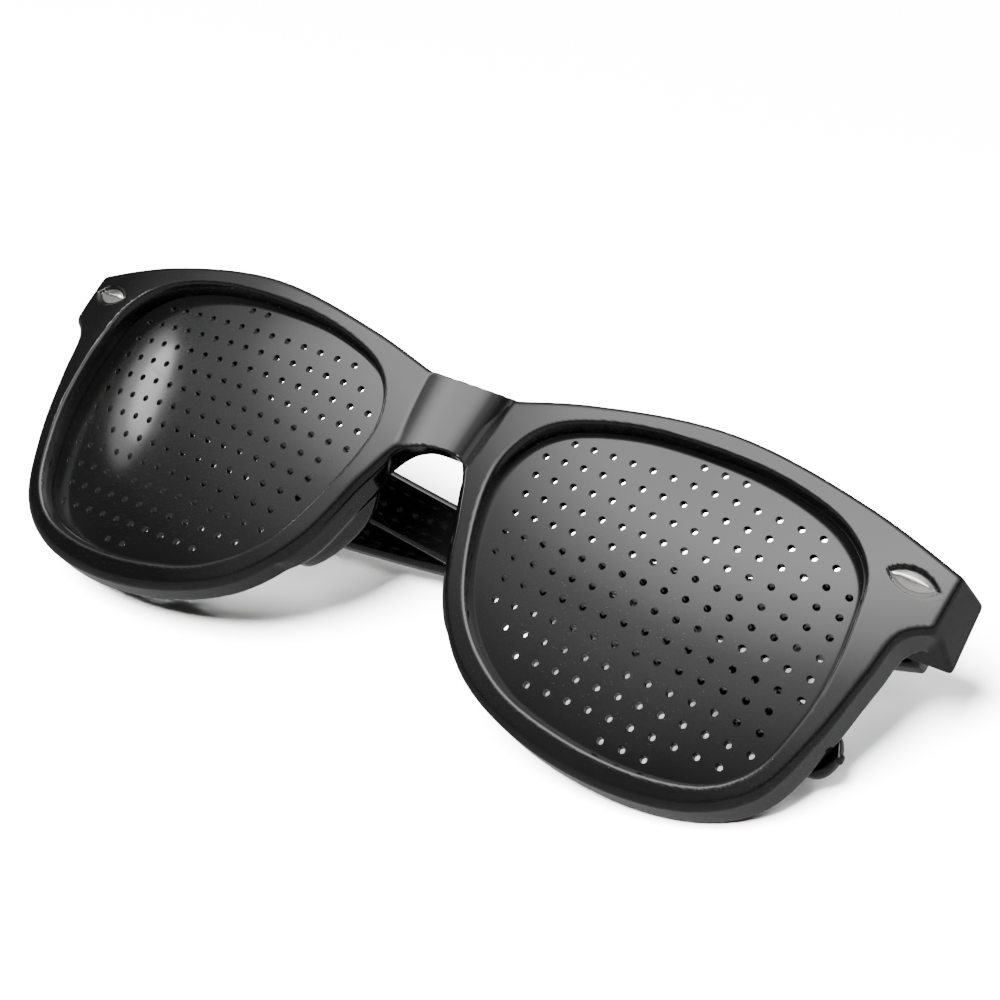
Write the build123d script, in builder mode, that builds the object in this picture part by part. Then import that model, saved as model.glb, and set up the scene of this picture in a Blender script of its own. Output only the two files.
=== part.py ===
"""Pinhole glasses: a moulded front, two perforated lenses, two folding temples."""
from build123d import *
from math import atan, cos, degrees, radians, sin, sqrt, tan
import os

# The glasses are modelled with the temples open, seen from the front: +X towards
# the wearer's left, +Y back towards the head, +Z up. The origin lies on the middle
# line, at half the lens height, level with the foremost points of the front.

# front
front_half_width = 72.0
front_half_height = 25.0
lobe_x = 22.9                # each half of the face is a dome about this line
face_radius = 120.0
bridge_kink_x = 7.1
bridge_top = 19.6
edge_chamfer = 0.6

# lens and its seat
lens_radius = 100.0
lens_recess = 1.8            # lens face behind the front's face, at the dome's top
lens_thickness = 1.2
back_lip = 1.4               # plastic behind the lens
seat_depth = 1.0             # how far the lens reaches into the rim
seat_clearance = 0.05
outline_steps = 34
bevel_width = 1.1            # sloping inner wall in front of the lens
bevel_depth = 1.5

# pinholes
hole_radius = 0.55
hole_sides = 6
hole_pitch = 3.0
hole_margin = 1.1            # solid band between the last holes and the rim
left_row_start = (36.2, -1.2)
left_row_tilt = 0.9
right_row_start = (30.9, 4.8)   # on its own side, like every x here
right_row_tilt = 0.7

# bridge saddle: a hollow between two creases
saddle_top_depth = 2.0
saddle_low_half_width = 5.0
saddle_low_depth = 1.5
saddle_low_z = 6.0
saddle_overrun = 2.0

# end blocks, which carry the hinges
butt_y = 20.6                # where front and temple meet
butt_gap = 0.15              # each side of that plane
block_outer = 73.5
block_inner = 65.0
block_top = 19.1
block_inner_top = 20.6
block_bottom = 8.9
block_flare = 11.0           # degrees by which the outer side leans out towards the back
block_root_y = 9.0
block_root_inner = 61.5
block_root_top = 18.6
block_root_inner_top = 21.0
block_root_bottom = 12.6

# hinge: three knuckles on one screw, each leaf's tongue let into the plastic
hinge_x = 68.2
hinge_z = 14.4
knuckle_radius = 1.5
knuckle_height = 2.4
knuckle_gap = 0.1
screw_radius = 0.7
screw_fit = 0.02
screw_running = 0.05
screw_head_radius = 1.2
screw_head_height = 0.6
leaf_thickness = 1.1
leaf_fit = 0.05
front_leaf_length = 4.5
temple_leaf_length = 9.0
temple_leaf_height = 5.0
temple_leaf_inset = 1.2      # from the temple's inner face to the tongue
leaf_arm_y = 0.45            # from the hinge line to the temple leaf's arm
swing_clearance = 0.3

# temple
temple_length = 134.0
temple_thickness = 4.2
temple_inset = 1.0           # inner face, outside the hinge line
temple_edge_cut = 0.9
temple_bend_start = 70.0
temple_bend = 2.0            # how far the tip turns in
near_fold_angle = 92.0
far_fold_angle = 87.8

# how the folded glasses lie
rest_lean = 52.1
rest_roll = 2.5

# nose pads
pad_long_radius = 9.0
pad_short_radius = 3.2
pad_tip_long_radius = 6.0
pad_tip_short_radius = 1.8
pad_lean = 64.0
pad_root = (10.7, -4.5)
pad_tip = (12.4, -5.5)
pad_root_y = 4.5
pad_height = 7.3

# studs
stud_x = 66.9
stud_z = 16.2
stud_length = 7.0
stud_width = 3.0
stud_tilt = -12.0
stud_depth = 1.2
stud_sink = 0.25             # how far its edge lies below the face
stud_rise = 0.7
stud_ridge = 0.3

overrun = 30.0

lens_centre_y = lens_radius + lens_recess
back_radius = lens_radius - lens_thickness - back_lip
front_butt_y = butt_y - butt_gap
temple_butt_y = butt_y + butt_gap
barrel_height = 3 * knuckle_height + 2 * knuckle_gap
temple_inner = hinge_x + temple_inset

# outlines as shares of the front's half width and half height
top_shares = [(0.257, 0.900), (0.528, 1.016), (0.806, 0.928), (0.996, 0.792), (1.060, 0.744)]
end_shares = [(1.060, 0.500), (0.999, 0.444), (0.954, 0.344), (0.933, 0.080), (0.900, -0.336),
              (0.845, -0.712), (0.750, -0.912), (0.600, -0.998), (0.417, -0.944),
              (0.264, -0.752), (0.165, -0.420), (0.107, 0.044), (0.067, 0.304),
              (0.036, 0.372), (0.000, 0.388)]
lens_shares = [(0.147, 0.261), (0.158, 0.497), (0.204, 0.670), (0.334, 0.809),
               (0.500, 0.860), (0.665, 0.844), (0.784, 0.743), (0.844, 0.572),
               (0.864, 0.278), (0.865, -0.052), (0.849, -0.317), (0.815, -0.584),
               (0.755, -0.742), (0.638, -0.828), (0.483, -0.812), (0.340, -0.693),
               (0.224, -0.395)]
# temple: share of its length, top and bottom as shares of the half height, and
# thickness as a share of the thickness at the butt
temple_shares = [(0.000, 0.772, 0.360, 1.000), (0.090, 0.688, 0.248, 0.980),
                 (0.224, 0.488, 0.135, 0.930), (0.403, 0.344, 0.008, 0.880),
                 (0.560, 0.235, -0.085, 0.860), (0.720, 0.110, -0.160, 0.850),
                 (0.830, 0.020, -0.235, 0.830), (0.905, -0.050, -0.380, 0.820),
                 (0.955, -0.115, -0.445, 0.800), (0.985, -0.185, -0.440, 0.660),
                 (1.000, -0.270, -0.390, 0.340)]


def at_half(shares):
    return [(a * front_half_width, b * front_half_height) for a, b in shares]


def lens_outline(grow):
    """The outline in which the lens shows, widened or narrowed by grow."""
    with BuildSketch(Plane.XZ) as outline:
        with BuildLine():
            edge = Spline(*at_half(lens_shares), periodic=True, mode=Mode.PRIVATE)
            steps = [i / outline_steps for i in range(outline_steps)]
            Spline(*[edge @ t + (edge % t).rotate(Axis.Z, 90) * grow for t in steps], periodic=True)
        make_face()
    return outline.sketch


def sag(distance):
    return lens_radius - sqrt(lens_radius**2 - distance**2)


def lens_sheet(outline, spare, start, tilt):
    """The domed sheet of the given outline, in flat cells with one hole each, spare thicker on each side."""
    turn = radians(tilt)
    middle_x = (lobe_x - start[0]) * cos(turn) - start[1] * sin(turn)
    middle_z = -(lobe_x - start[0]) * sin(turn) - start[1] * cos(turn)
    reach = int(front_half_height / hole_pitch) + 3
    borders = [(i + 0.5) * hole_pitch for i in range(-reach, reach)]
    strips = []
    for a, b in zip(borders, borders[1:]):
        face = [(lens_recess - spare + sag(a - middle_x) + sag(z - middle_z), z) for z in borders]
        back = [(y + lens_thickness + 2 * spare, z) for y, z in reversed(face)]
        rise = sag(b - middle_x) - sag(a - middle_x)
        with BuildPart() as strip:
            with BuildSketch(Plane.YZ.offset(a)):
                with BuildLine():
                    Polyline(*face, *back, close=True)
                make_face()
            extrude(amount=sqrt((b - a) ** 2 + rise**2), dir=(b - a, rise, 0))
        strips.append(strip.part)
    with BuildPart() as sheet:
        add(Pos(start[0], 0, start[1]) * Rot(Y=-tilt) * (strips[0] + strips[1:]))
        with BuildSketch(Plane.XZ):
            add(outline)
        extrude(amount=-overrun, mode=Mode.INTERSECT)
    return sheet.part


# nose pad, left
with BuildPart() as pad:
    for y, spot, long_radius, short_radius in (
        (pad_root_y, pad_root, pad_long_radius, pad_short_radius),
        (pad_root_y + pad_height, pad_tip, pad_tip_long_radius, pad_tip_short_radius),
    ):
        with BuildSketch(Plane.XZ.offset(-y)):
            with Locations(Location((*spot, 0), -pad_lean)):
                Ellipse(long_radius, short_radius)
    loft()

# front frame, left half
with BuildPart() as half_front_block:
    with BuildSketch(Plane.XZ) as half_outline:
        with BuildLine():
            kink = (bridge_kink_x, bridge_top)
            top = Spline(kink, *at_half(top_shares))
            Line((0, bridge_top), kink)
            low = Spline(*at_half(end_shares))
            Line(top @ 1, low @ 0)
            Line(low @ 1, (0, bridge_top))
        make_face()
    extrude(amount=-front_butt_y)
    outline_bar = half_front_block.part
    with Locations((lobe_x, lens_centre_y, 0)):
        Sphere(back_radius, mode=Mode.SUBTRACT)
    # end block, reaching back to the hinge
    for y, inner, bottom, upper, inner_upper in (
        (block_root_y, block_root_inner, block_root_bottom, block_root_top, block_root_inner_top),
        (front_butt_y, block_inner, block_bottom, block_top, block_inner_top),
    ):
        with BuildSketch(Plane.XZ.offset(-y)):
            with BuildLine():
                Polyline((inner, bottom), (block_outer + seat_depth, bottom),
                         (block_outer + seat_depth, upper), (inner, inner_upper), close=True)
            make_face()
    loft()
    with Locations((lobe_x, face_radius, 0)):
        Sphere(face_radius, mode=Mode.INTERSECT)
    with BuildSketch(Plane.XY.offset(-overrun)):
        with BuildLine():
            lean = tan(radians(block_flare))
            Polyline((block_outer - butt_y * lean, 0), (block_outer + (overrun - butt_y) * lean, overrun),
                     (block_outer + overrun, overrun), (block_outer + overrun, 0), close=True)
        make_face()
    extrude(amount=2 * overrun, mode=Mode.SUBTRACT)
    # softened edges, front and back
    face_side = half_front_block.faces().filter_by(GeomType.SPHERE).sort_by(Axis.Y)[0]
    chamfer(face_side.outer_wire().edges().filter_by(lambda e: e.center().X > bridge_kink_x), edge_chamfer)

half_front = half_front_block.part
with BuildPart() as trimmed_pad:
    add(pad.part)
    add(outline_bar, mode=Mode.INTERSECT)
half_pad = trimmed_pad.part
def face_y(x, z):
    return face_radius - sqrt(face_radius**2 - (x - lobe_x) ** 2 - z**2)


stud_y = face_y(stud_x, stud_z)
stud_out = Vector(stud_x - lobe_x, stud_y - face_radius, stud_z)
stud_along = Vector(cos(radians(stud_tilt)), 0, sin(radians(stud_tilt)))
stud_plane = Plane((stud_x, stud_y, stud_z), x_dir=stud_out.cross(stud_along).cross(stud_out), z_dir=stud_out)


def pointed_oval(grow):
    """The stud's outline, widened by grow, for the sketch in hand."""
    half_length, half_width = stud_length / 2 + grow, stud_width / 2 + grow
    with BuildLine() as oval:
        ThreePointArc((-half_length, 0), (0, half_width), (half_length, 0))
        ThreePointArc((half_length, 0), (0, -half_width), (-half_length, 0))
    make_face(oval.edges())


# hollow in which a stud sits
with BuildPart() as stud_hollow:
    with BuildSketch(stud_plane.offset(-stud_sink - stud_depth - seat_clearance)):
        pointed_oval(seat_clearance)
    extrude(amount=overrun)

# left stud
with BuildPart() as left_stud:
    with BuildSketch(stud_plane.offset(-stud_sink)):
        pointed_oval(0)
    extrude(amount=-stud_depth)
    with BuildSketch(stud_plane.offset(-stud_sink)):
        pointed_oval(0)
    extrude(amount=stud_rise, taper=degrees(atan((stud_width - stud_ridge) / 2 / stud_rise)))

# groove for the lens
seat = lens_sheet(lens_outline(seat_depth + seat_clearance), seat_clearance, left_row_start, left_row_tilt)

# hinge pocket
hinge_bottom = hinge_z - barrel_height / 2
with BuildPart() as front_hinge_leaf:
    with BuildSketch(Plane.YZ.offset(hinge_x - leaf_thickness / 2)):
        with Locations((butt_y - front_leaf_length / 2, hinge_z)):
            Rectangle(front_leaf_length, barrel_height)
        with Locations((butt_y, hinge_z)):
            Rectangle(2 * (knuckle_radius + swing_clearance), knuckle_height + 2 * knuckle_gap, mode=Mode.SUBTRACT)
    extrude(amount=leaf_thickness)
    for level in (hinge_bottom, hinge_bottom + 2 * (knuckle_height + knuckle_gap)):
        with BuildSketch(Plane.XY.offset(level)):
            with Locations((hinge_x, butt_y)):
                Circle(knuckle_radius)
        extrude(amount=knuckle_height)
    with BuildSketch(Plane.XY.offset(hinge_bottom)):
        with Locations((hinge_x, butt_y)):
            Circle(screw_radius + screw_fit)
    extrude(amount=barrel_height, mode=Mode.SUBTRACT)

with BuildPart() as barrel_room:
    with BuildSketch(Plane.XY.offset(hinge_bottom - swing_clearance)):
        with Locations((hinge_x, butt_y)):
            Circle(knuckle_radius + swing_clearance)
    extrude(amount=overrun)

with BuildPart() as front_leaf_room:
    with BuildSketch(Plane.YZ.offset(hinge_x - leaf_thickness / 2 - leaf_fit)):
        with Locations((butt_y - front_leaf_length / 2, hinge_z)):
            Rectangle(front_leaf_length + 2 * leaf_fit, barrel_height + 2 * leaf_fit)
    extrude(amount=leaf_thickness + 2 * leaf_fit)

tongue_x = temple_inner + temple_leaf_inset
with BuildPart() as temple_hinge_leaf:
    level = hinge_z - knuckle_height / 2
    arm_y = butt_y + leaf_arm_y
    with BuildSketch(Plane.XY.offset(level)):
        with Locations((hinge_x, butt_y)):
            Circle(knuckle_radius)
        with BuildLine():
            Polyline((hinge_x, arm_y), (tongue_x + leaf_thickness, arm_y),
                     (tongue_x + leaf_thickness, arm_y + leaf_thickness), (hinge_x, arm_y + leaf_thickness), close=True)
        make_face()
    extrude(amount=knuckle_height)
    with BuildSketch(Plane.YZ.offset(tongue_x)):
        with Locations((arm_y + temple_leaf_length / 2, hinge_z)):
            Rectangle(temple_leaf_length, temple_leaf_height)
    extrude(amount=leaf_thickness)
    with BuildSketch(Plane.XY.offset(level)):
        with Locations((hinge_x, butt_y)):
            Circle(screw_radius + screw_running)
    extrude(amount=knuckle_height, mode=Mode.SUBTRACT)

with BuildPart() as temple_leaf_room:
    with BuildSketch(Plane.XY.offset(hinge_z - knuckle_height / 2 - leaf_fit)):
        with BuildLine():
            Polyline((hinge_x, arm_y - leaf_fit), (tongue_x + leaf_thickness, arm_y - leaf_fit),
                     (tongue_x + leaf_thickness, arm_y + leaf_thickness + leaf_fit),
                     (hinge_x, arm_y + leaf_thickness + leaf_fit), close=True)
        make_face()
    extrude(amount=knuckle_height + 2 * leaf_fit)
    with BuildSketch(Plane.YZ.offset(tongue_x - leaf_fit)):
        with Locations((arm_y + temple_leaf_length / 2, hinge_z)):
            Rectangle(temple_leaf_length + 2 * leaf_fit, temple_leaf_height + 2 * leaf_fit)
    extrude(amount=leaf_thickness + 2 * leaf_fit)

with BuildPart() as hinge_screw:
    with BuildSketch(Plane.XY.offset(hinge_bottom)):
        with Locations((hinge_x, butt_y)):
            Circle(screw_radius)
    extrude(amount=barrel_height)
    with BuildSketch(Plane.XY.offset(hinge_bottom + barrel_height)):
        with Locations((hinge_x, butt_y)):
            Circle(screw_head_radius)
    extrude(amount=screw_head_height)

with BuildPart() as temple:
    for share, upper, lower, thick in temple_shares:
        along = share * temple_length
        height = (upper - lower) * front_half_height
        middle = (upper + lower) / 2 * front_half_height
        thickness = thick * temple_thickness
        bend = max(0, along - temple_bend_start) / (temple_length - temple_bend_start)
        with BuildSketch(Plane.XZ.offset(-temple_butt_y - along)):
            with Locations((temple_inner + thickness / 2 - temple_bend * bend**2, middle)):
                cut = min(temple_edge_cut, thickness * 0.35)
                half, rise = thickness / 2, height / 2
                Polygon((half, rise - cut), (half - cut, rise), (cut - half, rise), (-half, rise - cut),
                        (-half, cut - rise), (cut - half, -rise), (half - cut, -rise), (half, cut - rise))
    loft()

# hollow of the bridge
with BuildPart() as saddle:
    for level, half, depth in (
        (bridge_top + saddle_overrun, bridge_kink_x, saddle_top_depth),
        (saddle_low_z, saddle_low_half_width, saddle_low_depth),
    ):
        radius = (half**2 + depth**2) / (2 * depth)
        with BuildSketch(Plane.XY.offset(level)):
            with Locations((0, face_y(half, level) + depth - radius)):
                Circle(radius)
    loft()

# front frame
with BuildPart() as front_frame:
    add(half_front)
    add(half_pad)
    with BuildSketch(Plane.XZ):
        add(lens_outline(0))
    extrude(amount=-overrun, mode=Mode.SUBTRACT)
    # sloping wall in front of the lens, rounded edge behind it
    mouth = front_frame.edges().filter_by(lambda e: e.is_closed).sort_by(Axis.Y)[0]
    wall = front_frame.faces().filter_by(GeomType.EXTRUSION).filter_by(
        lambda f: any(e.is_same(mouth) for e in f.edges()))[0]
    chamfer(mouth, length=bevel_depth, length2=bevel_width, reference=wall)
    add(seat, mode=Mode.SUBTRACT)
    add(stud_hollow.part, mode=Mode.SUBTRACT)
    add(barrel_room.part, mode=Mode.SUBTRACT)
    add(front_leaf_room.part, mode=Mode.SUBTRACT)
    mirror(about=Plane.YZ)
    add(saddle.part, mode=Mode.SUBTRACT)

# lenses
def hole_spots(start, tilt, room):
    """Places of a lens's holes: a square pattern, kept where the lens has room."""
    turn = radians(tilt)
    steps = range(-int(front_half_width / hole_pitch), int(front_half_width / hole_pitch) + 1)
    spots = []
    for i in steps:
        for j in steps:
            x = start[0] + hole_pitch * (i * cos(turn) + j * sin(turn))
            z = start[1] + hole_pitch * (i * sin(turn) - j * cos(turn))
            if room.is_inside((x, 0, z)):
                spots.append((x, z))
    return spots


hole_room = lens_outline(-hole_margin - hole_radius)
with BuildPart() as left_lens:
    add(lens_sheet(lens_outline(seat_depth), 0, left_row_start, left_row_tilt))
    with BuildSketch(Plane.XZ):
        with Locations(*hole_spots(left_row_start, left_row_tilt, hole_room.face())):
            RegularPolygon(hole_radius, hole_sides)
    extrude(amount=-overrun, mode=Mode.SUBTRACT)
with BuildPart() as right_lens:
    add(lens_sheet(lens_outline(seat_depth), 0, right_row_start, right_row_tilt))
    with BuildSketch(Plane.XZ):
        with Locations(*hole_spots(right_row_start, right_row_tilt, hole_room.face())):
            RegularPolygon(hole_radius, hole_sides)
    extrude(amount=-overrun, mode=Mode.SUBTRACT)
print("holes", (len(left_lens.faces()) - 3) / hole_sides, (len(right_lens.faces()) - 3) / hole_sides)

with BuildPart() as left_temple:
    add(temple.part)
    add(barrel_room.part, mode=Mode.SUBTRACT)
    add(temple_leaf_room.part, mode=Mode.SUBTRACT)

# rest: the temples are folded, the near one inside the far one, and the glasses
# lie on both rims and the far temple's tip, with the front leaning back
left_fold = Pos(hinge_x, butt_y, 0) * Rot(Z=far_fold_angle) * Pos(-hinge_x, -butt_y, 0)
right_fold = Pos(-hinge_x, butt_y, 0) * Rot(Z=-near_fold_angle) * Pos(hinge_x, -butt_y, 0)


def other_side(piece):
    return mirror(piece, about=Plane.YZ, mode=Mode.PRIVATE)


pieces = {
    "front_frame": front_frame.part,
    "left_lens": left_lens.part,
    "right_lens": other_side(right_lens.part),
    "left_stud": left_stud.part,
    "right_stud": other_side(left_stud.part),
    "left_front_hinge_leaf": front_hinge_leaf.part,
    "right_front_hinge_leaf": other_side(front_hinge_leaf.part),
    "left_hinge_screw": hinge_screw.part,
    "right_hinge_screw": other_side(hinge_screw.part),
    "left_temple": left_fold * left_temple.part,
    "left_temple_hinge_leaf": left_fold * temple_hinge_leaf.part,
    "right_temple": right_fold * other_side(left_temple.part),
    "right_temple_hinge_leaf": right_fold * other_side(temple_hinge_leaf.part),
}
laid = {name: Rot(Y=rest_roll) * Rot(X=-rest_lean) * piece for name, piece in pieces.items()}
boxes = [piece.bounding_box() for piece in laid.values()]
ground = Pos(-(min(b.min.X for b in boxes) + max(b.max.X for b in boxes)) / 2,
             -(min(b.min.Y for b in boxes) + max(b.max.Y for b in boxes)) / 2,
             -min(b.min.Z for b in boxes))
print("ground", ground.position)

os.makedirs("parts", exist_ok=True)
for name, piece in laid.items():
    placed = ground * piece
    placed.label = name
    export_step(placed, f"parts/{name}.step")
    print(name, round(placed.volume, 1), placed.is_valid, len(placed.solids()))
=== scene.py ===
import math

import bmesh
import bpy
import numpy as np
from mathutils import Matrix, Vector
from mathutils.geometry import delaunay_2d_cdt


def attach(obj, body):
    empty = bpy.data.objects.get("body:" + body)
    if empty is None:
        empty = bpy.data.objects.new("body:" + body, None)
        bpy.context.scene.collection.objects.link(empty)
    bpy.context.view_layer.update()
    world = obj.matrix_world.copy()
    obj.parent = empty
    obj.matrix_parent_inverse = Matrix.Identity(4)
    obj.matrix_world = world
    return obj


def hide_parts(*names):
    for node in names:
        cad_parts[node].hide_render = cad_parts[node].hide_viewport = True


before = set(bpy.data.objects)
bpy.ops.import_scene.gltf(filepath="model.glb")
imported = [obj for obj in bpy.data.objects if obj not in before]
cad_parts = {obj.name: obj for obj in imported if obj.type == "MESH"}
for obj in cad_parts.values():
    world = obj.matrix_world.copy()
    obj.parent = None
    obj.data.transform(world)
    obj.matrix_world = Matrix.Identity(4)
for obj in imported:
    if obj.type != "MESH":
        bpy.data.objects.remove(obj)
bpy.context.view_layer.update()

# front moulding, in millimetres
HALF_WIDTH, HALF_HEIGHT = 72.0, 25.0
LOBE_X = 22.9                                  # middle of each half's dome
FACE_RADIUS, BACK_RADIUS = 120.0, 97.4
EDGE_CUT = 0.42                                # along the outer edge of the face
BEVEL_WIDTH, BEVEL_DEPTH = 0.8, 1.5            # the sloping wall round each lens
BUTT_Y, BUTT_GAP = 20.6, 0.15
KINK = (7.1, 19.6)                             # where the rim's top edge meets the bridge
BRIDGE_TOP = [(0.0, 20.6), (3.4, 20.35)]
# the outline from the bridge outwards and back, as shares of the half width and height
TOP_SHARES = [(0.257, 0.900), (0.528, 1.016), (0.806, 0.928), (0.996, 0.792), (1.060, 0.744)]
LOW_SHARES = [(1.060, 0.500), (0.999, 0.444), (0.954, 0.344), (0.933, 0.080), (0.900, -0.336),
              (0.845, -0.712), (0.750, -0.912), (0.600, -0.998), (0.417, -0.944),
              (0.264, -0.752), (0.165, -0.420), (0.107, 0.044), (0.067, 0.304),
              (0.036, 0.372), (0.000, 0.388)]
# end block: its inner edge at the back of the rim, and how much its sides lean
BLOCK_X, BLOCK_Y, INNER_LEAN = 61.5, 9.0, 0.3057
BLOCK_LOW_Z, LOW_LEAN = 12.6, 0.323
BLOCK_TOP_Z, TOP_LEAN = 21.0, 0.17
BLOCK_OUTER, BLOCK_FLARE = 73.5, 11.0
# nose pad, an oval: each pair is the value at its root and the change to its end
PAD_ROOT_Y, PAD_LENGTH, PAD_LEAN = 4.5, 7.3, -64.0
PAD_X, PAD_Z = (10.7, 1.7), (-4.5, -1.0)
PAD_HALF_HEIGHT, PAD_HALF_THICKNESS = (9.0, -3.0), (3.2, -1.4)
# hollow of the bridge, low down and high up: height, half width, depth
SADDLE_LOW, SADDLE_HIGH = (6.0, 5.4, 2.2), (21.6, 7.1, 3.1)
# radii of the soft edges between the shapes that make up the front
SOFT = {"back edge": 0.7, "block side": 0.8, "block butt": 0.5, "block": 0.6, "block joint": 0.3,
        "pad end": 2.2, "pad side": 0.8, "pad joint": 1.4, "face edge": 0.35, "edge cut": 0.3,
        "flare": 0.7, "saddle": 0.25, "opening": 0.5, "slope": 0.35, "barrel end": 0.1,
        "barrel": 0.12, "recess floor": 0.4, "recess": 0.45}
# the box in which the front is meshed, and its cells
GRID = ((-75.4, 75.5), (-0.6, 21.4), (-26.2, 27.0))
CELL = 0.4

# lenses
LENS_RADIUS, LENS_RECESS, LENS_THICKNESS = 100.0, 1.8, 1.2
LENS_REACH = 0.95                              # how far a lens reaches into the rim
LENS_CENTRE = Vector((LOBE_X, LENS_RADIUS + LENS_RECESS, 0))
HOLE_RADIUS, HOLE_FLARE, HOLE_PITCH, HOLE_MARGIN = 0.47, 0.04, 3.0, 1.65
HOLE_SIDES, HOLE_ROWS = 24, 24
# the place of one hole and the tilt of the rows in degrees, as fitted to the photo
LEFT_HOLES, RIGHT_HOLES = ((36.2, -1.2), 0.9), ((30.9, 4.8), 0.7)
LENS_POINTS = 220
LENS_SHARES = [(0.147, 0.261), (0.158, 0.497), (0.204, 0.670), (0.334, 0.809),
               (0.500, 0.860), (0.665, 0.844), (0.784, 0.743), (0.844, 0.572),
               (0.864, 0.278), (0.865, -0.052), (0.849, -0.317), (0.815, -0.584),
               (0.755, -0.742), (0.638, -0.828), (0.483, -0.812), (0.340, -0.693),
               (0.224, -0.395)]

# hinges
HINGE_X, HINGE_Z = 68.2, 14.4
BARREL_HEIGHT, BARREL_ROOM, BARREL_END_ROOM = 7.4, 1.8, 0.3
SCREW_RADIUS, SCREW_POINT, SCREW_TAPER = 0.68, 0.5, 0.18
HEAD_RADIUS, HEAD_HEIGHT, HEAD_FLAT = 1.18, 0.6, 0.25
HEAD_DOME = [(0.0, 0.30), (0.06, 0.42), (0.2, 0.51), (0.5, 0.57)]      # inwards, up
SLOT_HALF_WIDTH, SLOT_FLOOR = 0.17, 0.26
LEAF_REACH, LEAF_NEAR, LEAF_FAR, LEAF_HALF_HEIGHT = 3.35, 0.4, 1.6, 1.25
SCREW_SIDES, POCKET_SIDES = 40, 48
POCKET_TOP, SLOT_OVERRUN = 30.0, 2.0            # how far the cutting shapes run past the piece

# temples
TEMPLE_LENGTH, TEMPLE_THICKNESS, TEMPLE_INSET = 134.0, 4.2, 1.0
TEMPLE_BEND_START, TEMPLE_BEND = 70.0, 2.0
TEMPLE_STEPS, TIP_STEPS = 110, 14
TIP_START = 0.9776                             # share of the length where the tip rounds off
TIP_THINNING, TIP_LOWERING = 0.35, 0.96
CAP_LENGTH, CAP_LEFT = 0.5, 0.06
BUTT_EDGE, BUTT_DEPTH, BUTT_TURNS = 0.5, 0.25, (0.0, 0.4, 0.8, 1.2)
BUTT_ROUND, BUTT_MOST_ROUND = 1.15, 0.36       # corner radius, and its largest share of the width
TEMPLE_ROUND, MOST_ROUND = 1.25, 0.42
FAR_FOLD, NEAR_FOLD = 87.8, 92.0
# share of the length, top and bottom as shares of the half height, thickness share
TEMPLE_SHARES = [(0.000, 0.772, 0.360, 1.000), (0.090, 0.688, 0.248, 0.980),
                 (0.224, 0.488, 0.135, 0.930), (0.403, 0.344, 0.008, 0.880),
                 (0.560, 0.235, -0.085, 0.860), (0.720, 0.110, -0.160, 0.850),
                 (0.830, 0.020, -0.235, 0.830), (0.905, -0.050, -0.380, 0.820),
                 (0.955, -0.115, -0.445, 0.800), (0.985, -0.185, -0.440, 0.660),
                 (1.000, -0.270, -0.390, 0.340)]

# studs
STUD_X, STUD_Z, STUD_TILT = 66.9, 16.2, 4.0
STUD_HALF_LENGTH, STUD_HALF_WIDTH = 3.1, 1.32
STUD_ARC = (STUD_HALF_LENGTH**2 + STUD_HALF_WIDTH**2) / (2 * STUD_HALF_WIDTH)
STUD_FOOT, STUD_SHOULDER, STUD_BROW, STUD_RISE = -1.4, -0.36, -0.28, 0.72
STUD_BROW_INSET, STUD_NARROWING, STUD_SHORTENING = 0.03, 0.93, 0.25
STUD_SWELL, STUD_END_RISE, STUD_END_CURVE = 1.25, 0.25, 0.8
STUD_POINTS, STUD_STEPS = 56, 8
RECESS_ROOM, RECESS_FLOOR = 0.34, -0.32

# how the folded glasses lie on the floor
GROUND = Vector((0.325566, -6.745, 26.1036))
ROLL, LEAN_BACK = 2.5, -52.1
laid_down = (Matrix.Scale(0.001, 4) @ Matrix.Translation(GROUND)
             @ Matrix.Rotation(math.radians(ROLL), 4, "Y")
             @ Matrix.Rotation(math.radians(LEAN_BACK), 4, "X"))
mirrored = Matrix.Scale(-1, 4, (1, 0, 0))

# camera, as fitted to the photo
CAMERA_PLACE = (0.179845, -0.246817, 0.208321)
CAMERA_RIGHT = (0.833843, 0.551567, -0.021794)
CAMERA_UP = (-0.27173, 0.444556, 0.853493)
CAMERA_FORWARD = (-0.480467, 0.705742, -0.520638)
CAMERA_LENS, CAMERA_SENSOR = 93.604, 36.0

# studio: how the surroundings brighten from the horizon to straight up, as mirrored
SKY_STOPS = [(0.0, 0.06), (0.08, 0.03), (0.20, 0.015), (0.33, 0.022), (0.43, 0.065), (0.50, 0.09),
             (0.56, 0.14), (0.62, 0.19), (0.66, 0.21), (0.70, 0.25), (0.76, 0.46), (0.80, 0.62),
             (0.83, 0.70), (0.86, 0.86), (0.91, 1.0), (1.0, 0.97)]
SKY_BRIGHT_SIDE, SKY_LEAST, SKY_MOST = (0.94, -0.34, 0.0), 5.0, 10.4
SKY_FRONT_DARKENING = 0.35
FLOOR_HALF_SIZE = 3.0


# places
def fold(side):
    """Turns an open temple of that side into its folded place."""
    pivot = Vector((side * HINGE_X, BUTT_Y, 0))
    angle = FAR_FOLD if side > 0 else -NEAR_FOLD
    return (Matrix.Translation(pivot) @ Matrix.Rotation(math.radians(angle), 4, "Z")
            @ Matrix.Translation(-pivot))


def placed(side):
    """Lays down a piece of the front, mirrored for the wearer's right."""
    return laid_down @ mirrored if side < 0 else laid_down


def face_y(x, z):
    """How far back the domed face lies."""
    return FACE_RADIUS - math.sqrt(FACE_RADIUS**2 - (x - LOBE_X) ** 2 - z**2)


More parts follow.
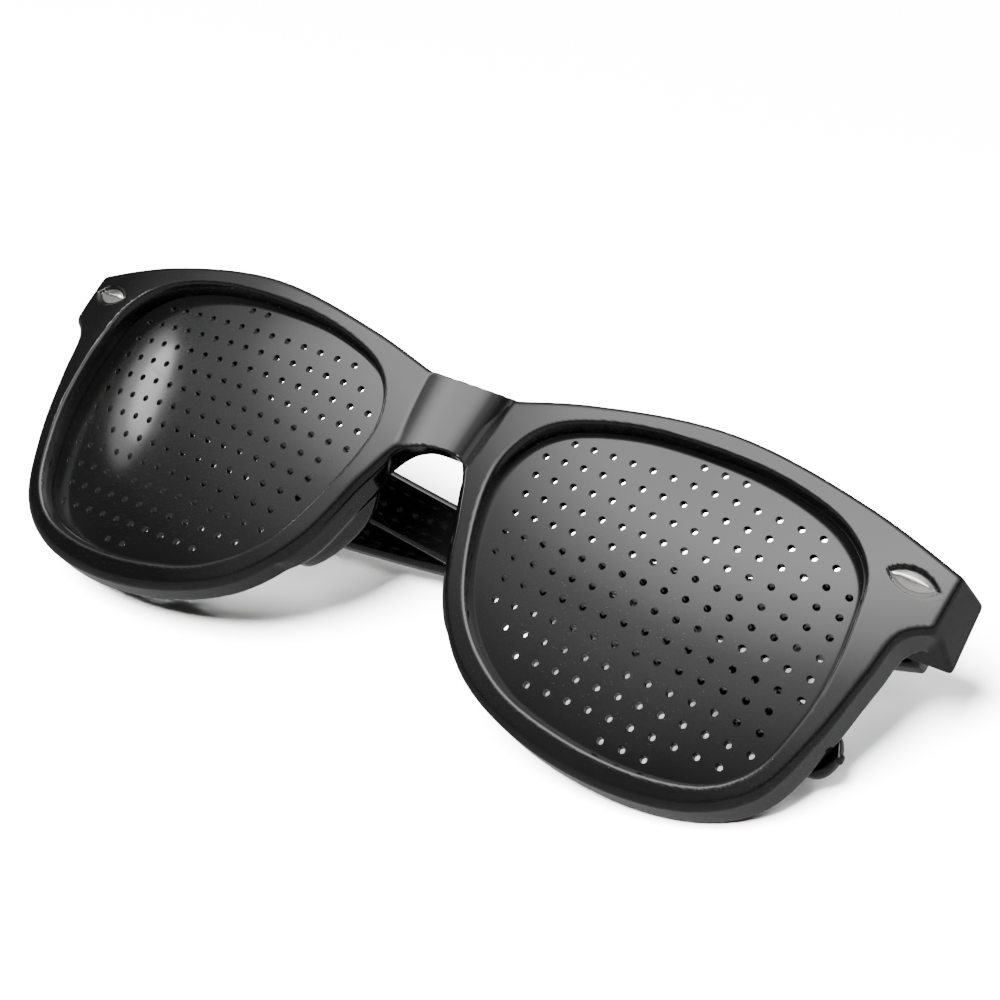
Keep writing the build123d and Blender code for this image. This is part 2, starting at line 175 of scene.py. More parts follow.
def stud_frame():
    """The place of the left stud on the face: along it, across it and outwards."""
    y = face_y(STUD_X, STUD_Z)
    out = Vector((STUD_X - LOBE_X, y - FACE_RADIUS, STUD_Z)).normalized()
    tilt = math.radians(STUD_TILT)
    along = Vector((math.cos(tilt), 0, math.sin(tilt)))
    along = (along - out * along.dot(out)).normalized()
    across = out.cross(along)
    turn = Matrix((along, across, out)).transposed().to_4x4()
    return Matrix.Translation((STUD_X, y, STUD_Z)) @ turn


# curves
CURVE_STEPS = 40


def at_size(shares):
    """Points in millimetres from shares of the half width and height."""
    return [(a * HALF_WIDTH, b * HALF_HEIGHT) for a, b in shares]


def smooth_path(points):
    """Close points on a smooth curve from the second given point to the last but one."""
    dense = []
    for p0, p1, p2, p3 in zip(points, points[1:], points[2:], points[3:]):
        t01, t12, t23 = ((b - a).length ** 0.5 for a, b in ((p0, p1), (p1, p2), (p2, p3)))
        m1 = t12 * ((p1 - p0) / t01 - (p2 - p0) / (t01 + t12) + (p2 - p1) / t12)
        m2 = t12 * ((p2 - p1) / t12 - (p3 - p1) / (t12 + t23) + (p3 - p2) / t23)
        for k in range(CURVE_STEPS):
            t = k / CURVE_STEPS
            dense.append((2 * t**3 - 3 * t**2 + 1) * p1 + (t**3 - 2 * t**2 + t) * m1
                         + (-2 * t**3 + 3 * t**2) * p2 + (t**3 - t**2) * m2)
    return dense


def open_curve(points):
    """Close points on a smooth curve from the first given point to the last."""
    first = Vector(points[0]) * 2 - Vector(points[1])
    last = Vector(points[-1]) * 2 - Vector(points[-2])
    return smooth_path([first, *map(Vector, points), last])


def closed_curve(points, count):
    """Evenly spaced points on the smooth closed curve through the given points."""
    around = [Vector(p) for p in points]
    dense = smooth_path([around[-1], *around, around[0], around[1]])
    lengths = [0.0]
    for a, b in zip(dense, dense[1:] + dense[:1]):
        lengths.append(lengths[-1] + (b - a).length)
    even, j = [], 0
    for i in range(count):
        want = lengths[-1] * i / count
        while lengths[j + 1] < want:
            j += 1
        f = (want - lengths[j]) / (lengths[j + 1] - lengths[j])
        even.append(dense[j].lerp(dense[(j + 1) % len(dense)], f))
    return even


def moved_out(curve, distance):
    """A closed curve moved outwards along its normals."""
    area = sum(a.x * b.y - b.x * a.y for a, b in zip(curve, curve[1:] + curve[:1]))
    turn = math.copysign(1, area)
    moved = []
    for i, p in enumerate(curve):
        along = (curve[(i + 1) % len(curve)] - curve[i - 1]).normalized()
        moved.append(p + Vector((along.y, -along.x)) * turn * distance)
    return moved


def is_inside(p, curve):
    """Whether a closed curve goes round a point."""
    inside = False
    for a, b in zip(curve, curve[1:] + curve[:1]):
        if (a.y > p.y) != (b.y > p.y) and p.x < (b.x - a.x) * (p.y - a.y) / (b.y - a.y) + a.x:
            inside = not inside
    return inside


def circle(centre, radius, count):
    """Evenly spaced points on a circle in the plane."""
    turns = (2 * math.pi * k / count for k in range(count))
    return [centre + Vector((math.cos(a), math.sin(a))) * radius for a in turns]


def in_table(table, share):
    """A row of the table at any share of the length, on a smooth curve through its rows."""
    i = max(k for k in range(len(table) - 1) if table[k][0] <= share or k == 0)
    rows = [table[max(0, min(len(table) - 1, i + k))] for k in (-1, 0, 1, 2)]
    gap = rows[2][0] - rows[1][0]
    t = (share - rows[1][0]) / gap
    values = []
    for c in range(1, len(table[0])):
        p0, p1, p2, p3 = (r[c] for r in rows)
        m1 = (p2 - p0) / (rows[2][0] - rows[0][0]) * gap
        m2 = (p3 - p1) / (rows[3][0] - rows[1][0]) * gap
        values.append((2 * t**3 - 3 * t**2 + 1) * p1 + (t**3 - 2 * t**2 + t) * m1
                      + (-2 * t**3 + 3 * t**2) * p2 + (t**3 - t**2) * m2)
    return values


# materials
class Nodes:
    """A small helper to wire one material."""

    def __init__(self, name):
        self.material = bpy.data.materials.new(name)
        self.material.use_nodes = True
        self.tree = self.material.node_tree
        self.shader = self.tree.nodes["Principled BSDF"]
        self.place = self.add("ShaderNodeTexCoord").outputs["Object"]

    def add(self, kind, inputs=(), **settings):
        node = self.tree.nodes.new(kind)
        for key, value in settings.items():
            setattr(node, key, value)
        for key, value in dict(inputs).items():
            if isinstance(value, bpy.types.NodeSocket):
                self.tree.links.new(value, node.inputs[key])
            else:
                node.inputs[key].default_value = value
        return node

    def set(self, **values):
        for key, value in values.items():
            self.shader.inputs[key.replace("_", " ")].default_value = value

    def link(self, output, name):
        self.tree.links.new(output, self.shader.inputs[name])

    def noise(self, scale, detail=3.0, place=None):
        inputs = {"Vector": place or self.place, "Scale": scale, "Detail": detail, "Roughness": 0.6}
        return self.add("ShaderNodeTexNoise", inputs).outputs["Fac"]

    def between(self, value, low, high, start=0.3, end=0.7):
        inputs = {"Value": value, "From Min": start, "From Max": end, "To Min": low, "To Max": high}
        return self.add("ShaderNodeMapRange", inputs).outputs["Result"]

    def sum(self, a, b, operation="ADD"):
        return self.add("ShaderNodeMath", {0: a, 1: b}, operation=operation).outputs["Value"]

    def mixed(self, factor, first, second):
        """A colour between two; each is a colour or another node's output."""
        first, second = (c if isinstance(c, bpy.types.NodeSocket) else (*c, 1) for c in (first, second))
        inputs = {"Factor": factor, 6: first, 7: second}
        return self.add("ShaderNodeMix", inputs, data_type="RGBA").outputs[2]

    def stretched(self, scale, turn):
        inputs = {"Vector": self.place, "Scale": scale, "Rotation": turn}
        return self.add("ShaderNodeMapping", inputs).outputs["Vector"]

    def scratches(self, turn, density=1.0):
        """Thin faint lines in one direction."""
        along = self.stretched((60.0 * density, 60.0 * density, 2600.0), turn)
        return self.between(self.noise(1.0, 1.0, along), 0.0, 1.0, 0.68, 0.74)

    def specks(self, scale, amount):
        """Fine dust, as small round dots."""
        dots = self.add("ShaderNodeTexVoronoi", {"Vector": self.place, "Scale": scale})
        near = self.between(dots.outputs["Distance"], 1.0, 0.0, 0.04, 0.10)
        some = self.add("ShaderNodeSeparateColor", {"Color": dots.outputs["Color"]}).outputs["Red"]
        chosen = self.between(some, 0.0, 1.0, 1.0 - amount, 1.0 - amount + 0.01)
        return self.sum(near, chosen, "MULTIPLY")

    def relief(self, height, distance, edge_radius=None):
        """Small bumps and, where a radius is given, softened edges."""
        inputs = {"Height": height, "Distance": distance}
        if edge_radius:
            bevel = self.add("ShaderNodeBevel", {"Radius": edge_radius}, samples=6)
            inputs["Normal"] = bevel.outputs["Normal"]
        self.link(self.add("ShaderNodeBump", inputs).outputs["Normal"], "Normal")


def gloss_plastic(name, dark, pale, rough, ripple_depth):
    """Polished black plastic with handling marks, fine scratches and a little dust."""
    n = Nodes(name)
    clouds = n.noise(38.0, 4.0)
    smears = n.noise(160.0, 3.0, n.stretched((1.0, 0.35, 1.0), (0.3, 0.2, 0.9)))
    marks = n.sum(n.scratches((0.4, 0.9, 0.2)), n.scratches((1.2, -0.5, 1.1), 0.7))
    roughness = n.sum(n.between(clouds, rough * 0.85, rough * 1.15),
                      n.between(smears, 0.0, 0.03, 0.5, 0.75))
    n.link(n.sum(roughness, n.between(marks, 0.0, 0.03, 0.0, 1.0)), "Roughness")
    dust = n.specks(900.0, 0.006)
    tint = n.mixed(n.between(clouds, 0.0, 1.0), dark, pale)
    n.link(n.mixed(n.between(dust, 0.0, 0.3, 0.0, 1.0), tint, (0.008, 0.008, 0.008)), "Base Color")
    n.set(IOR=1.5, Metallic=0.0)
    n.relief(n.noise(85.0, 2.0), ripple_depth)
    return n.material


def metal(name, dark, pale, rough, edge_radius, brushed):
    """Plated metal with fine grain and slight tarnish."""
    n = Nodes(name)
    clouds = n.noise(420.0, 4.0)
    grain = n.noise(1.0, 2.0, n.stretched(brushed, (0.0, 0.0, 0.0)))
    n.link(n.mixed(n.between(clouds, 0.0, 1.0), dark, pale), "Base Color")
    roughness = n.sum(n.between(clouds, rough * 1.3, rough * 0.8), n.between(grain, -0.04, 0.06))
    n.link(roughness, "Roughness")
    n.set(Metallic=1.0)
    n.relief(grain, 0.000004, edge_radius)
    return n.material


def pale_floor():
    """A plain white surface, a little uneven in tone."""
    n = Nodes("pale_floor")
    n.link(n.mixed(n.noise(6.0), (0.88, 0.88, 0.88), (0.92, 0.92, 0.92)), "Base Color")
    n.set(Roughness=0.65)
    return n.material


def grey(value):
    return (value, value, value)


frame_plastic = gloss_plastic("frame_black_gloss", grey(0.0002), grey(0.0004), 0.07, 0.00001)
temple_plastic = gloss_plastic("temple_black_gloss", grey(0.0002), grey(0.0004), 0.08, 0.00001)
lens_plastic = gloss_plastic("lens_dark_sheet", grey(0.0003), grey(0.0005), 0.12, 0.000005)
stud_metal = metal("stud_polished", (0.80, 0.79, 0.75), (0.92, 0.91, 0.87), 0.20, None,
                   (900.0, 5000.0, 900.0))
hinge_metal = metal("hinge_plated", (0.36, 0.36, 0.37), (0.62, 0.62, 0.63), 0.30, 0.0001,
                    (800.0, 4000.0, 800.0))


# building pieces
def make_piece(name, bm, matrix, material, body, node, sharp=35.0):
    """Turns a bmesh into a piece that rides on a body and stands for a CAD node."""
    mesh = bpy.data.meshes.new(name)
    if matrix.determinant() < 0:
        bmesh.ops.reverse_faces(bm, faces=bm.faces)
    bm.transform(matrix)
    bm.to_mesh(mesh)
    bm.free()
    mesh.shade_smooth()
    mesh.set_sharp_from_angle(angle=math.radians(sharp))
    mesh.materials.append(material)
    piece = bpy.data.objects.new(name, mesh)
    bpy.context.scene.collection.objects.link(piece)
    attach(piece, body)
    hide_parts(node)
    return piece


def cutter(bm, matrix):
    """A shape to cut away; it never shows."""
    mesh = bpy.data.meshes.new("cutter")
    if matrix.determinant() < 0:
        bmesh.ops.reverse_faces(bm, faces=bm.faces)
    bm.transform(matrix)
    bm.to_mesh(mesh)
    bm.free()
    tool = bpy.data.objects.new("cutter", mesh)
    bpy.context.scene.collection.objects.link(tool)
    tool.hide_render = True
    return tool


def cut_away(piece, tools):
    """Cuts the tool shapes out of a piece and throws them away."""
    for tool in tools:
        cut = piece.modifiers.new("cut", "BOOLEAN")
        cut.operation, cut.solver, cut.object = "DIFFERENCE", "EXACT", tool
        bpy.context.view_layer.update()
        shaped = piece.evaluated_get(bpy.context.evaluated_depsgraph_get())
        result = bpy.data.meshes.new_from_object(shaped)
        piece.modifiers.remove(cut)
        old, piece.data = piece.data, result
        bpy.data.meshes.remove(old)
        bpy.data.objects.remove(tool)
    piece.data.set_sharp_from_angle(angle=math.radians(35.0))


def bridged(bm, rings):
    """Quads between neighbouring rings of points, with both ends closed."""
    made = [[bm.verts.new(p) for p in ring] for ring in rings]
    for a, b in zip(made, made[1:]):
        for i in range(len(a)):
            j = (i + 1) % len(a)
            bm.faces.new((a[i], a[j], b[j], b[i]))
    bm.faces.new(list(reversed(made[0])))
    bm.faces.new(made[-1])
    bmesh.ops.recalc_face_normals(bm, faces=bm.faces)


def turned(centre, outline, count):
    """A solid of revolution about an upright axis, from radii and heights."""
    turns = [2 * math.pi * i / count for i in range(count)]
    bm = bmesh.new()
    bridged(bm, [[(centre[0] + r * math.cos(a), centre[1] + r * math.sin(a), z) for a in turns]
                 for r, z in outline])
    return bm


def block(low, high):
    """A box between two corners."""
    bm = bmesh.new()
    ring = ((low[0], low[1]), (high[0], low[1]), (high[0], high[1]), (low[0], high[1]))
    bridged(bm, [[(x, y, z) for x, y in ring] for z in (low[2], high[2])])
    return bm


# lenses
lens_curve = closed_curve(at_size(LENS_SHARES), LENS_POINTS)


def hole_spots(start, tilt):
    """The places of a slightly turned square grid that lie well inside the lens."""
    room = moved_out(lens_curve, -HOLE_MARGIN)
    turn = math.radians(tilt)
    spots = []
    for i in range(-HOLE_ROWS, HOLE_ROWS + 1):
        for j in range(-HOLE_ROWS, HOLE_ROWS + 1):
            p = Vector((start[0] + HOLE_PITCH * (i * math.cos(turn) + j * math.sin(turn)),
                        start[1] + HOLE_PITCH * (i * math.sin(turn) - j * math.cos(turn))))
            if is_inside(p, room):
                spots.append(p)
    return spots


def on_dome(p, radius, depth=0.0):
    """The point of a dome about the lens's centre that lies behind a point of the plane."""
    across = p.x - LOBE_X
    return Vector((p.x, LENS_CENTRE.y - math.sqrt(radius**2 - across**2 - p.y**2) + depth, p.y))


def flat_sheet(rim, spots):
    """Corners and triangles of the lens laid flat, without those inside a hole."""
    points, edges = list(rim), [(i, (i + 1) % len(rim)) for i in range(len(rim))]
    for spot in spots:
        first = len(points)
        points += circle(spot, HOLE_RADIUS + HOLE_FLARE, HOLE_SIDES)
        edges += [(first + k, first + (k + 1) % HOLE_SIDES) for k in range(HOLE_SIDES)]
    corners, _, triangles, sources = delaunay_2d_cdt(points, edges, [], 0, 1e-6)[:4]
    hole_of, new_of = [None] * len(corners), {}
    for new, originals in enumerate(sources):
        for original in originals:
            new_of[original] = new
        if originals and min(originals) >= len(rim):
            hole_of[new] = (min(originals) - len(rim)) // HOLE_SIDES
    kept = []
    for triangle in triangles:
        holes = {hole_of[v] for v in triangle}
        if len(holes) == 1 and None not in holes:
            continue
        middle = sum((Vector(corners[v]) for v in triangle), Vector((0, 0))) / 3
        if is_inside(middle, rim):
            kept.append(triangle)
    return corners, kept, new_of


def use_dome_normals(lens, kinds, centre):
    """Gives the front (1) and the back (2) the dome's exact normals, for smooth reflections."""
    mesh = lens.data
    normals = [Vector(n.vector) for n in mesh.corner_normals]
    for face, which in zip(mesh.polygons, kinds):
        if which:
            for loop in face.loop_indices:
                out = (mesh.vertices[mesh.loops[loop].vertex_index].co - centre).normalized()
                normals[loop] = out if which == 1 else -out
    mesh.normals_split_custom_set(normals)


def perforated_lens(name, side, holes, node):
    """A domed sheet with a round hole, slightly flared at the front, at every spot."""
    rim = moved_out(lens_curve, LENS_REACH)
    spots = hole_spots(*holes)
    corners, triangles, new_of = flat_sheet(rim, spots)
    bm = bmesh.new()
    kind = bm.faces.layers.int.new("kind")
    fronts = [bm.verts.new(on_dome(Vector(p), LENS_RADIUS)) for p in corners]
    backs = [bm.verts.new(on_dome(Vector(p), LENS_RADIUS - LENS_THICKNESS)) for p in corners]
    for triangle in triangles:
        bm.faces.new([fronts[v] for v in triangle])[kind] = 1
        bm.faces.new([backs[v] for v in reversed(triangle)])[kind] = 2
    for k in range(len(rim)):
        a, b = new_of[k], new_of[(k + 1) % len(rim)]
        bm.faces.new((fronts[a], fronts[b], backs[b], backs[a]))
    for s, spot in enumerate(spots):
        first = len(rim) + s * HOLE_SIDES
        mouth = [bm.verts.new(on_dome(p, LENS_RADIUS, HOLE_FLARE))
                 for p in circle(spot, HOLE_RADIUS, HOLE_SIDES)]
        for k in range(HOLE_SIDES):
            m = (k + 1) % HOLE_SIDES
            a, b = new_of[first + k], new_of[first + m]
            bm.faces.new((fronts[b], fronts[a], mouth[k], mouth[m]))
            bm.faces.new((mouth[m], mouth[k], backs[a], backs[b]))
    bmesh.ops.recalc_face_normals(bm, faces=bm.faces)
    kinds = [f[kind] for f in bm.faces]
    bm.faces.layers.int.remove(kind)
    matrix = placed(side)
    lens = make_piece(name, bm, matrix, lens_plastic, "front", node, sharp=40.0)
    use_dome_normals(lens, kinds, matrix @ LENS_CENTRE)


perforated_lens("left_lens_sheet", 1, LEFT_HOLES, "left_lens")
perforated_lens("right_lens_sheet", -1, RIGHT_HOLES, "right_lens")


# temples
def rounded_ring(x, y, z, width, height, radius, steps=6):
    """A rounded rectangle across the temple at one place of its length."""
    corners = ((1, 1), (-1, 1), (-1, -1), (1, -1))
    half_w, half_h = width / 2 - radius, height / 2 - radius
    ring = []
    for corner, (sx, sz) in enumerate(corners):
        for k in range(steps + 1):
            a = math.pi / 2 * (corner + k / steps)
            ring.append((x + sx * half_w + radius * math.cos(a), y,
                         z + sz * half_h + radius * math.sin(a)))
        next_sx, next_sz = corners[(corner + 1) % 4]
        start = Vector(ring[-1])
        end = Vector((x + next_sx * half_w + radius * math.cos(a), y,
                      z + next_sz * half_h + radius * math.sin(a)))
        ring += [tuple(start.lerp(end, k / 4)) for k in (1, 2, 3)]
    return ring


def temple_section(share):
    """Place, width and height of the temple at a share of its length."""
    top, bottom, thick = in_table(TEMPLE_SHARES, min(share, TIP_START))
    into_tip = max(0.0, (share - TIP_START) / (1 - TIP_START))
    width = thick * TEMPLE_THICKNESS * (1 - TIP_THINNING * into_tip**2)
    height = (top - bottom) * HALF_HEIGHT * math.sqrt(1 - TIP_LOWERING * into_tip**2)
    along = share * TEMPLE_LENGTH
    bend = max(0.0, along - TEMPLE_BEND_START) / (TEMPLE_LENGTH - TEMPLE_BEND_START)
    x = HINGE_X + TEMPLE_INSET + width / 2 - TEMPLE_BEND * bend**2
    return x, BUTT_Y + BUTT_GAP + along, (top + bottom) / 2 * HALF_HEIGHT, width, height


def temple_piece(name, side, body, node):
    """One temple: a smooth tapering bar with rounded edges, ends and hinge pocket."""
    x, y, z, width, height = temple_section(0.0)
    rings = []
    for a in BUTT_TURNS:
        inset = BUTT_EDGE * (1 - math.sin(a))
        rings.append(rounded_ring(x, y + BUTT_DEPTH * (1 - math.cos(a)), z, width - inset,
                                  height - inset, min(BUTT_ROUND, width * BUTT_MOST_ROUND)))
    shares = [k / TEMPLE_STEPS for k in range(1, TEMPLE_STEPS) if k / TEMPLE_STEPS < TIP_START]
    shares += [TIP_START + (1 - TIP_START) * math.sin(math.pi / 2 * k / TIP_STEPS)
               for k in range(TIP_STEPS + 1)]
    for share in shares:
        x, y, z, width, height = temple_section(share)
        rings.append(rounded_ring(x, y, z, width, height,
                                  min(TEMPLE_ROUND, width * MOST_ROUND, height * MOST_ROUND)))
    for k in (1, 2, 3, 4):
        a = math.pi / 2 * k / 4
        left = math.cos(a) * (1 - CAP_LEFT) + CAP_LEFT
        rings.append(rounded_ring(x, y + CAP_LENGTH * math.sin(a), z, width * left,
                                  height * (0.5 + 0.5 * left), width * left * MOST_ROUND))
    bm = bmesh.new()
    bridged(bm, rings)
    matrix = laid_down @ fold(side) @ (mirrored if side < 0 else Matrix.Identity(4))
    piece = make_piece(name, bm, matrix, temple_plastic, body, node)
    low = HINGE_Z - (BARREL_HEIGHT / 2 + BARREL_END_ROOM)
    room = turned((HINGE_X, BUTT_Y), [(BARREL_ROOM, low), (BARREL_ROOM, HINGE_Z + POCKET_TOP)],
                  POCKET_SIDES)
    slot = block((HINGE_X, BUTT_Y + LEAF_NEAR, HINGE_Z - LEAF_HALF_HEIGHT),
                 (HINGE_X + LEAF_REACH, BUTT_Y + LEAF_FAR, HINGE_Z + LEAF_HALF_HEIGHT))
    cut_away(piece, [cutter(room, matrix), cutter(slot, matrix)])


temple_piece("left_temple_arm", 1, "left_temple", "left_temple")
temple_piece("right_temple_arm", -1, "right_temple", "right_temple")


# studs
def stud_piece(name, side, node):
    """A pointed oval stud with a rounded ridge along it."""
    oval = []
    for k in range(STUD_POINTS):
        a = 2 * math.pi * k / STUD_POINTS
        x = STUD_HALF_LENGTH * math.cos(a)
        half = max(0.0, math.sqrt(STUD_ARC**2 - x**2) - (STUD_ARC - STUD_HALF_WIDTH))
        y = math.copysign(half, math.sin(a)) if abs(math.sin(a)) > 1e-6 else 0.0
        oval.append((x, y, half / STUD_HALF_WIDTH))
    kept = 1 - STUD_BROW_INSET
    rings = [[(x, y, STUD_FOOT) for x, y, wide in oval],
             [(x, y, STUD_SHOULDER) for x, y, wide in oval],
             [(x * kept, y * kept, STUD_BROW) for x, y, wide in oval]]
    for step in range(1, STUD_STEPS + 1):
        share = step / STUD_STEPS
        rise = STUD_RISE * (1 - (1 - share) ** STUD_SWELL)
        ring = []
        for x, y, wide in oval:
            shorter = share * (0.9 - 0.75 * min(1.0, wide * 1.2)) * STUD_SHORTENING
            height = STUD_END_RISE + (1 - STUD_END_RISE) * wide**STUD_END_CURVE
            ring.append((x * (kept - shorter), y * (kept - STUD_NARROWING * share),
                         STUD_BROW + rise * height))
        rings.append(ring)
    bm = bmesh.new()
    bridged(bm, rings)
    bmesh.ops.remove_doubles(bm, verts=bm.verts, dist=0.002)
    make_piece(name, bm, placed(side) @ stud_frame(), stud_metal, "front", node, sharp=50.0)


stud_piece("left_stud_metal", 1, "left_stud")
stud_piece("right_stud_metal", -1, "right_stud")


# front moulding: the surface where a smooth distance field is zero. A field is an
# array of four rows: a distance, below zero inside, and its slope in x, y and z.
class Outline:
    """A closed curve in the face plane, as a field."""

    def __init__(self, points, spacing, softness):
        p = evenly(np.array([tuple(q) for q in points]), spacing)
        for _ in range(softness):
            p = (np.roll(p, 1, 0) + 2 * p + np.roll(p, -1, 0)) / 4
        along = np.roll(p, -1, 0) - np.roll(p, 1, 0)
        along /= np.linalg.norm(along, axis=1)[:, None]
        x, z = p.T
        turn = np.sign(np.sum(x * np.roll(z, -1) - np.roll(x, -1) * z))
        self.points, self.along = p, along
        self.normals = np.stack((along[:, 1], -along[:, 0]), 1) * turn
        self.spacing = np.linalg.norm(p[1] - p[0])

    def nearest(self, q):
        """The number of the curve's point nearest to each place, by a coarse and a fine look."""
        count, stride, batch = len(self.points), 8, 20000
        nearest = np.empty(len(q), int)
        for s in range(0, len(q), batch):
            part = q[s:s + batch]
            coarse = ((part[:, None] - self.points[None, ::stride]) ** 2).sum(2).argmin(1) * stride
            near = (coarse[:, None] + np.arange(-stride, stride + 1)) % count
            fine = ((part[:, None] - self.points[near]) ** 2).sum(2).argmin(1)
            nearest[s:s + batch] = near[np.arange(len(part)), fine]
        return nearest

    def field(self, x, z):
        q = np.stack((x, z), 1)
        nearest = self.nearest(q)
        away = q - self.points[nearest]
        ahead = (away * self.along[nearest]).sum(1) / self.spacing
        other = (nearest + np.where(ahead > 0, 1, -1)) % len(self.points)
        share = np.clip(np.abs(ahead), 0, 1)[:, None]
        normal = self.normals[nearest] * (1 - share) + self.normals[other] * share
        normal /= np.linalg.norm(normal, axis=1)[:, None]
        value = (away * self.normals[nearest]).sum(1)
        return np.stack((value, normal[:, 0], np.zeros(len(q)), normal[:, 1]))


def evenly(points, spacing):
    """Evenly spaced points on a closed line through the given points."""
    closed = np.vstack((points, points[:1]))
    steps = np.linalg.norm(np.diff(closed, axis=0), axis=1)
    at = np.concatenate(([0], np.cumsum(steps)))
    count = int(at[-1] / spacing)
    want = np.arange(count) * at[-1] / count
    return np.stack([np.interp(want, at, closed[:, k]) for k in (0, 1)], 1)


def both(a, b, soft):
    """Where two fields hold, with a rounded edge between them."""
    h = np.clip(0.5 + 0.5 * (a[0] - b[0]) / soft, 0, 1)
    out = b + (a - b) * h
    out[0] += soft * h * (1 - h)
    return out


def either(a, b, soft):
    """Where at least one of two fields holds, with a rounded corner between them."""
    return -both(-a, -b, soft)


def flat_side(x, y, z, normal, offset):
    """Field of a flat side: below zero where normal . point < offset."""
    size = math.sqrt(sum(c * c for c in normal))
    value = (normal[0] * x + normal[1] * y + normal[2] * z - offset) / size
    ones = np.ones_like(value)
    return np.stack((value, ones * normal[0] / size, ones * normal[1] / size, ones * normal[2] / size))


def ball(x, y, z, centre, radius):
    dx, dy, dz = x - centre[0], y - centre[1], z - centre[2]
    far = np.sqrt(dx * dx + dy * dy + dz * dz)
    return np.stack((far - radius, dx / far, dy / far, dz / far))


def end_block(x, y, z):
    """The thick end behind the stud, which carries the hinge."""
    inner = flat_side(x, y, z, (-1, INNER_LEAN, 0), -BLOCK_X + BLOCK_Y * INNER_LEAN)
    bottom = flat_side(x, y, z, (0, -LOW_LEAN, -1), -BLOCK_LOW_Z - BLOCK_Y * LOW_LEAN)
    top = flat_side(x, y, z, (TOP_LEAN, 0, 1), BLOCK_TOP_Z + TOP_LEAN * BLOCK_X)
    butt = flat_side(x, y, z, (0, 1, 0), BUTT_Y - BUTT_GAP)
    sides = both(inner, bottom, SOFT["block side"])
    return both(sides, both(top, butt, SOFT["block butt"]), SOFT["block"])


def nose_pad(x, y, z, outline):
    """A leaning oval that shrinks towards its end and stays within the front's outline."""
    rise = np.clip((y - PAD_ROOT_Y) / PAD_LENGTH, -0.3, 1.3)
    pad_x, pad_z, a, b = (root + change * rise for root, change in
                          (PAD_X, PAD_Z, PAD_HALF_HEIGHT, PAD_HALF_THICKNESS))
    cos, sin = math.cos(math.radians(PAD_LEAN)), math.sin(math.radians(PAD_LEAN))
    u0, v0 = x - pad_x, z - pad_z
    u, v = u0 * cos + v0 * sin, -u0 * sin + v0 * cos
    q = np.sqrt((u / a) ** 2 + (v / b) ** 2) + 1e-9
    qu, qv = u / (a * a * q), v / (b * b * q)
    qy = -(u * u * PAD_HALF_HEIGHT[1] / a**3 + v * v * PAD_HALF_THICKNESS[1] / b**3) / q / PAD_LENGTH
    slope = np.sqrt(qu**2 + qv**2) + 1e-9
    pad = np.stack(((q - 1) / slope, (qu * cos - qv * sin) / slope, qy / slope,
                    (qu * sin + qv * cos) / slope))
    pad = both(pad, flat_side(x, y, z, (0, 1, 0), PAD_ROOT_Y + PAD_LENGTH), SOFT["pad end"])
    return both(pad, outline, SOFT["pad side"])


def bridge_saddle(x, y, z):
    """All but the hollow across the bridge, which is a part of a leaning cone."""
    rows = []
    for height, half, depth in (SADDLE_LOW, SADDLE_HIGH):
        radius = (half**2 + depth**2) / (2 * depth)
        rows.append((height, radius, face_y(half, height) + depth - radius))
    (low, r_low, c_low), (high, r_high, c_high) = rows
    dr, dc = (r_high - r_low) / (high - low), (c_high - c_low) / (high - low)
    radius, centre = r_low + dr * (z - low), c_low + dc * (z - low)
    far = np.sqrt(x * x + (y - centre) ** 2) + 1e-9
    return np.stack((radius - far, -x / far, -(y - centre) / far, dr + (y - centre) * dc / far))


def lens_slope(face, opening):
    """The room in front of a lens, widening towards the face."""
    size = math.hypot(1 / BEVEL_WIDTH, 1 / BEVEL_DEPTH)
    slope = (opening / BEVEL_WIDTH - face / BEVEL_DEPTH) / size
    slope[0] -= 1 / size
    return slope


def hinge_room(x, y, z):
    """The upright round pocket for the hinge's knuckles, open at the top."""
    around = np.hypot(x - HINGE_X, y - BUTT_Y) + 1e-9
    barrel = np.stack((around - BARREL_ROOM, (x - HINGE_X) / around, (y - BUTT_Y) / around,
                       np.zeros_like(around)))
    low = HINGE_Z - BARREL_HEIGHT / 2 - BARREL_END_ROOM
    return both(barrel, flat_side(x, y, z, (0, 0, -1), -low), SOFT["barrel end"])


def stud_recess(x, y, z):
    """The shallow pointed oval in which a stud sits."""
    place = stud_frame()
    origin = place.translation
    axes = [place.col[k].to_3d() for k in range(3)]
    u, v, w = (axis[0] * (x - origin[0]) + axis[1] * (y - origin[1]) + axis[2] * (z - origin[2])
               for axis in axes)
    side = np.where(v < 0, -1.0, 1.0)
    height = np.abs(v) + STUD_ARC - STUD_HALF_WIDTH
    far = np.hypot(u, height)
    du, dv = u / far, side * height / far
    oval = np.stack([far - STUD_ARC - RECESS_ROOM]
                    + [du * axes[0][k] + dv * axes[1][k] for k in range(3)])
    floor_of_it = np.stack([RECESS_FLOOR - w] + [-axes[2][k] * np.ones_like(w) for k in range(3)])
    return both(oval, floor_of_it, SOFT["recess floor"])


